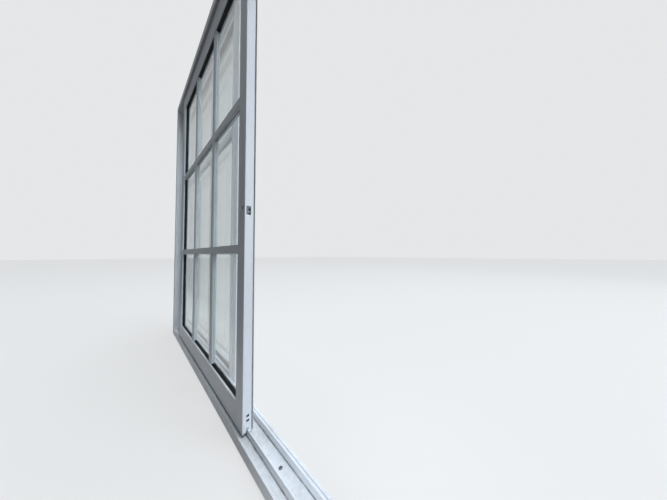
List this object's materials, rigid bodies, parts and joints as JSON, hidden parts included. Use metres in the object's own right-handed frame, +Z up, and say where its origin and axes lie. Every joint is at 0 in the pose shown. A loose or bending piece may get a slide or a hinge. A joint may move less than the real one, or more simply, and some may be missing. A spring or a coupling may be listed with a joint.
{
  "type": "horizontal sliding sash window",
  "caption": "White aluminium sliding sash window with glazing bars, rollers and mortise hook locks, in its own frame.",
  "frame": {"origin": "middle of the frame's bottom face", "axes": "+X along the window, to the right as seen from the room; +Y outward, from the room to the outside; +Z up"},
  "size_m": [1.62, 0.07, 1.31],
  "materials": {
    "white_aluminium": "satin",
    "clear_glass": "polished",
    "black_rubber": "matte",
    "grey_pile": "matte",
    "roller_nylon": "matte",
    "plated_steel": "satin",
    "stainless": "satin",
    "zinc": "satin",
    "lock_grey": "satin"
  },
  "bodies": {
    "frame": {"sill_track": "white_aluminium", "head_track": "white_aluminium", "left_jamb": "white_aluminium", "right_jamb": "white_aluminium", "frame_corner_screws": "plated_steel", "sill_fixing_screws": "plated_steel", "anti_lift_blocks": "roller_nylon", "right_keeper": "stainless", "left_keeper": "stainless", "keeper_screws": "plated_steel"},
    "inner_sash": {"inner_lock_stile": "white_aluminium", "inner_interlock_stile": "white_aluminium", "inner_bottom_rail": "white_aluminium", "inner_top_rail": "white_aluminium", "inner_glass": "clear_glass", "inner_setting_blocks": "black_rubber", "inner_inside_gasket": "black_rubber", "inner_outside_gasket": "black_rubber", "inner_inside_crossbars": "white_aluminium", "inner_inside_uprights": "white_aluminium", "inner_outside_crossbars": "white_aluminium", "inner_outside_uprights": "white_aluminium", "inner_interlock_hook": "white_aluminium", "inner_pile_strip": "grey_pile", "inner_corner_screws": "plated_steel", "inner_left_roller_housing": "roller_nylon", "inner_right_roller_housing": "roller_nylon", "inner_roller_axles": "plated_steel", "inner_top_guides": "roller_nylon", "inner_lock_case": "zinc", "inner_lock_pin": "plated_steel"},
    "inner_left_wheel_body": {"inner_left_wheel": "roller_nylon"},
    "inner_right_wheel_body": {"inner_right_wheel": "roller_nylon"},
    "inner_lock_slide_body": {"inner_lock_slide": "lock_grey"},
    "inner_lock_hook_body": {"inner_lock_hook": "plated_steel"},
    "outer_sash": {"outer_lock_stile": "white_aluminium", "outer_interlock_stile": "white_aluminium", "outer_bottom_rail": "white_aluminium", "outer_top_rail": "white_aluminium", "outer_glass": "clear_glass", "outer_setting_blocks": "black_rubber", "outer_inside_gasket": "black_rubber", "outer_outside_gasket": "black_rubber", "outer_inside_crossbars": "white_aluminium", "outer_inside_uprights": "white_aluminium", "outer_outside_crossbars": "white_aluminium", "outer_outside_uprights": "white_aluminium", "outer_interlock_hook": "white_aluminium", "outer_pile_strip": "grey_pile", "outer_corner_screws": "plated_steel", "outer_left_roller_housing": "roller_nylon", "outer_right_roller_housing": "roller_nylon", "outer_roller_axles": "plated_steel", "outer_top_guides": "roller_nylon", "outer_lock_case": "zinc", "outer_lock_pin": "plated_steel"},
    "outer_left_wheel_body": {"outer_left_wheel": "roller_nylon"},
    "outer_right_wheel_body": {"outer_right_wheel": "roller_nylon"},
    "outer_lock_slide_body": {"outer_lock_slide": "lock_grey"},
    "outer_lock_hook_body": {"outer_lock_hook": "plated_steel"}
  },
  "joints": [
    {"name": "inner_sash_slide", "type": "slide", "parent": "frame", "child": "inner_sash", "axis": [1, 0, 0], "range_m": [-0.13, 0.631]},
    {"name": "inner_left_wheel_turn", "type": "hinge", "parent": "inner_sash", "child": "inner_left_wheel_body", "pos_m": [-0.585, -0.01625, 0.0459], "axis": [0, 1, 0], "continuous": true},
    {"name": "inner_right_wheel_turn", "type": "hinge", "parent": "inner_sash", "child": "inner_right_wheel_body", "pos_m": [0.092, -0.01625, 0.0459], "axis": [0, 1, 0], "continuous": true},
    {"name": "inner_lock_slide_travel", "type": "slide", "parent": "inner_sash", "child": "inner_lock_slide_body", "axis": [0, 0, 1], "range_m": [0, 0.012]},
    {"name": "inner_lock_hook_turn", "type": "hinge", "parent": "inner_sash", "child": "inner_lock_hook_body", "pos_m": [0.1495, -0.01755, 0.552], "axis": [0, 1, 0], "range_deg": [0, 105]},
    {"name": "outer_sash_slide", "type": "slide", "parent": "frame", "child": "outer_sash", "axis": [1, 0, 0], "range_m": [0, 0.761]},
    {"name": "outer_left_wheel_turn", "type": "hinge", "parent": "outer_sash", "child": "outer_left_wheel_body", "pos_m": [-0.723, 0.01625, 0.0459], "axis": [0, 1, 0], "continuous": true},
    {"name": "outer_right_wheel_turn", "type": "hinge", "parent": "outer_sash", "child": "outer_right_wheel_body", "pos_m": [-0.046, 0.01625, 0.0459], "axis": [0, 1, 0], "continuous": true},
    {"name": "outer_lock_slide_travel", "type": "slide", "parent": "outer_sash", "child": "outer_lock_slide_body", "axis": [0, 0, 1], "range_m": [0, 0.012]},
    {"name": "outer_lock_hook_turn", "type": "hinge", "parent": "outer_sash", "child": "outer_lock_hook_body", "pos_m": [-0.7805, 0.01495, 0.552], "axis": [0, -1, 0], "range_deg": [0, 105]}
  ],
  "couplings": [
    {"joint": "inner_left_wheel_turn", "follows": "inner_sash_slide", "rad_per_m": 178.57},
    {"joint": "inner_right_wheel_turn", "follows": "inner_sash_slide", "rad_per_m": 178.57},
    {"joint": "inner_lock_hook_turn", "follows": "inner_lock_slide_travel", "rad_per_m": 152},
    {"joint": "outer_left_wheel_turn", "follows": "outer_sash_slide", "rad_per_m": 178.57},
    {"joint": "outer_right_wheel_turn", "follows": "outer_sash_slide", "rad_per_m": 178.57},
    {"joint": "outer_lock_hook_turn", "follows": "outer_lock_slide_travel", "rad_per_m": 152}
  ]
}
